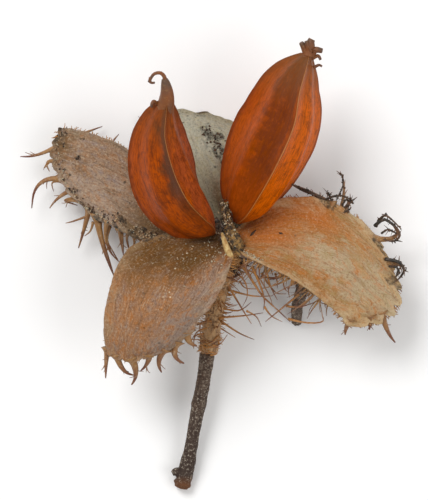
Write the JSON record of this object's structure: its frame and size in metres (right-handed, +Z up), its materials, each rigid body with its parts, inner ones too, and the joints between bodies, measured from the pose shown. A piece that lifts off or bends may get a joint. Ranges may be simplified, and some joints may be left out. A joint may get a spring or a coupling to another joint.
{
  "type": "beech nut husk with nuts",
  "caption": "Ripe beech husk on its woody stalk, split open into spread bristly valves with glossy three-ridged nuts standing between them, lying on a surface.",
  "frame": {"origin": "centre of the footprint, on the surface that the husk lies on", "axes": "+Z up from the surface, +Y from the end of the stalk towards the tips of the nuts, +X to the right seen from above"},
  "size_m": [0.0388, 0.0453, 0.0185],
  "materials": {
    "bark": "dry ridged twig bark, dark grey brown with pale specks",
    "husk_base": "dry fibrous husk, tan, with stiff dark spines",
    "valve": "silky fibrous inside, tan with a grey sheen and pale edges, matt",
    "valve_weathered": "weathered pale grey inside with black mould spots, matt",
    "nut_shell": "glossy leathery shell, orange chestnut with dark purple brown bands"
  },
  "bodies": {
    "root": {"stalk": "bark", "cupule_base": "husk_base", "valve_front": "valve", "valve_right": "valve", "valve_back": "valve_weathered", "valve_left": "valve", "nut_left": "nut_shell", "nut_right": "nut_shell"}
  },
  "joints": []
}
